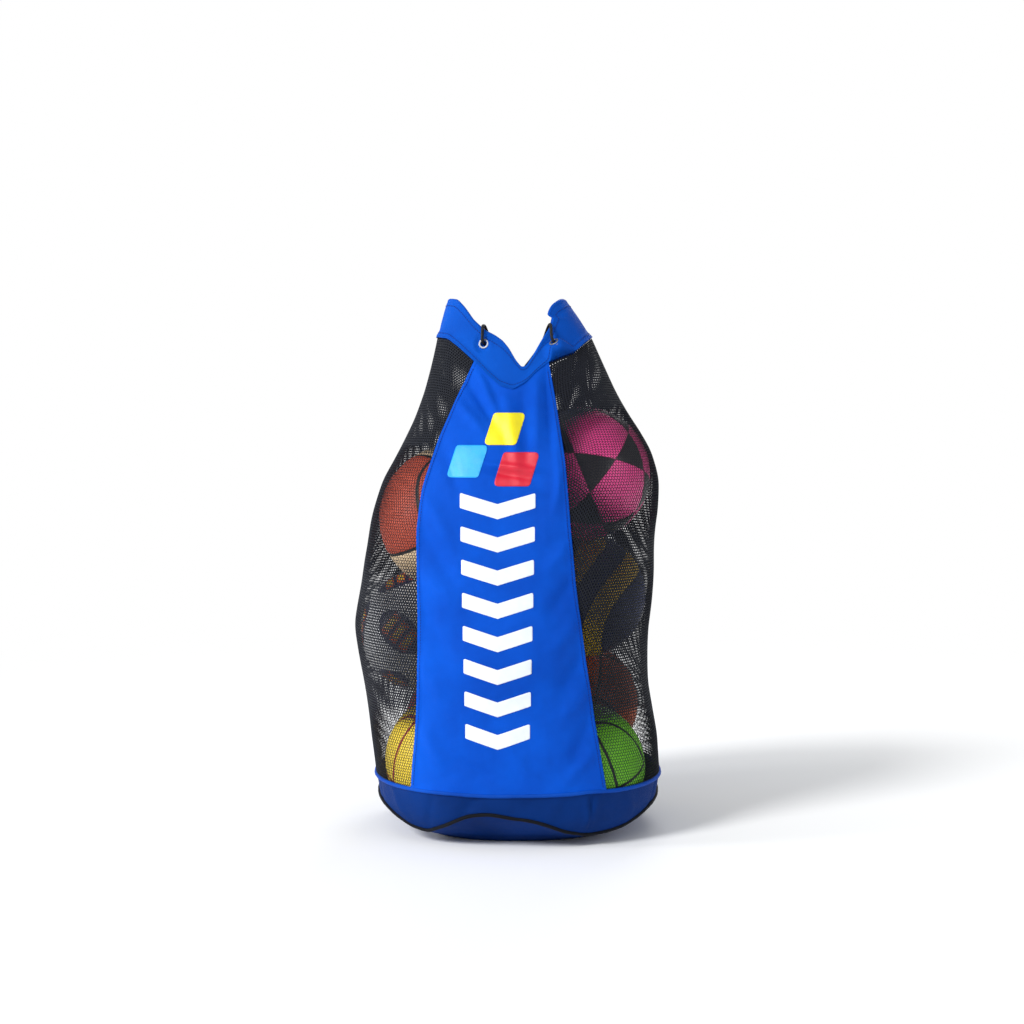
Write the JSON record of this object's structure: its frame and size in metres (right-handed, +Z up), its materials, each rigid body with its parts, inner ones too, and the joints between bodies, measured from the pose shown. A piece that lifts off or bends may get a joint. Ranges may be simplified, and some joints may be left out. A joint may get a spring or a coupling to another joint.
{
  "type": "mesh ball bag",
  "caption": "Tall drawstring net bag full of sports balls, with cloth front and back panels, a cloth collar with eyelets and a round cloth base.",
  "frame": {"origin": "centre of the flat base, on the floor", "axes": "+Z up along the bag, -Y towards the printed front, +X to the viewer's right"},
  "size_m": [0.5121, 0.484, 0.8638],
  "materials": {
    "blue_cloth": "plain woven polyester, slight sheen",
    "band_cloth": "darker woven polyester",
    "blue_piping": "corded woven binding",
    "black_piping": "corded woven binding",
    "black_net": "knitted nylon net",
    "black_cord": "braided polyester cord",
    "eyelet_metal": "pale nickel over brass",
    "black_plastic": "moulded, fine texture",
    "spring_steel": "drawn wire",
    "yellow_rubber": "fine pebble",
    "green_rubber": "fine pebble",
    "white_leather": "smooth synthetic leather, dark oval panels",
    "navy_leather": "smooth synthetic leather, yellow stripes",
    "brown_leather": "pebbled, cream panels",
    "pink_leather": "smooth synthetic leather, black panels",
    "orange_rubber": "pebbled",
    "red_rubber": "pebbled",
    "sky_leather": "smooth synthetic leather",
    "cream_leather": "smooth synthetic leather"
  },
  "bodies": {
    "root": {"base_disc": "band_cloth", "base_band": "band_cloth", "lower_piping": "black_piping", "upper_piping": "blue_piping", "front_panel": "blue_cloth", "back_panel": "blue_cloth", "left_mesh": "black_net", "right_mesh": "black_net", "left_collar": "blue_cloth", "left_facing": "blue_cloth", "right_collar": "blue_cloth", "right_facing": "blue_cloth", "left_drawcord": "black_cord", "right_drawcord": "black_cord", "yellow_ball": "yellow_rubber", "green_ball": "green_rubber", "white_ball": "white_leather", "navy_ball": "navy_leather", "brown_ball": "brown_leather", "pink_ball": "pink_leather", "orange_ball": "orange_rubber", "red_ball": "red_rubber", "sky_ball": "sky_leather", "cream_ball": "cream_leather"},
    "front_lip": {"front_collar": "blue_cloth", "front_facing": "blue_cloth", "left_eyelet": "eyelet_metal", "left_washer": "eyelet_metal", "right_eyelet": "eyelet_metal", "right_washer": "eyelet_metal", "left_tail": "black_cord", "right_tail": "black_cord", "tail_knot": "black_cord"},
    "back_lip": {"back_collar": "blue_cloth", "back_facing": "blue_cloth", "back_drawcord": "black_cord"},
    "cord_lock": {"lock_body": "black_plastic", "lock_spring": "spring_steel"},
    "lock_plunger": {"lock_button": "black_plastic"}
  },
  "joints": [
    {"name": "front_lip_pull", "type": "slide", "parent": "root", "child": "front_lip", "axis": [0, -1, 0], "range_m": [0, 0.04]},
    {"name": "back_lip_pull", "type": "slide", "parent": "root", "child": "back_lip", "axis": [0, 1, 0], "range_m": [0, 0.04]},
    {"name": "cord_lock_slide", "type": "slide", "parent": "front_lip", "child": "cord_lock", "axis": [0, 0, -1], "range_m": [-0.012, 0.026]},
    {"name": "lock_button_press", "type": "slide", "parent": "cord_lock", "child": "lock_plunger", "axis": [-1, 0, 0], "range_m": [0, 0.004], "stiffness_N_per_m": 1200, "springref_m": -0.002}
  ],
  "couplings": [
    {"joint": "back_lip_pull", "follows": "front_lip_pull", "ratio": 1}
  ]
}
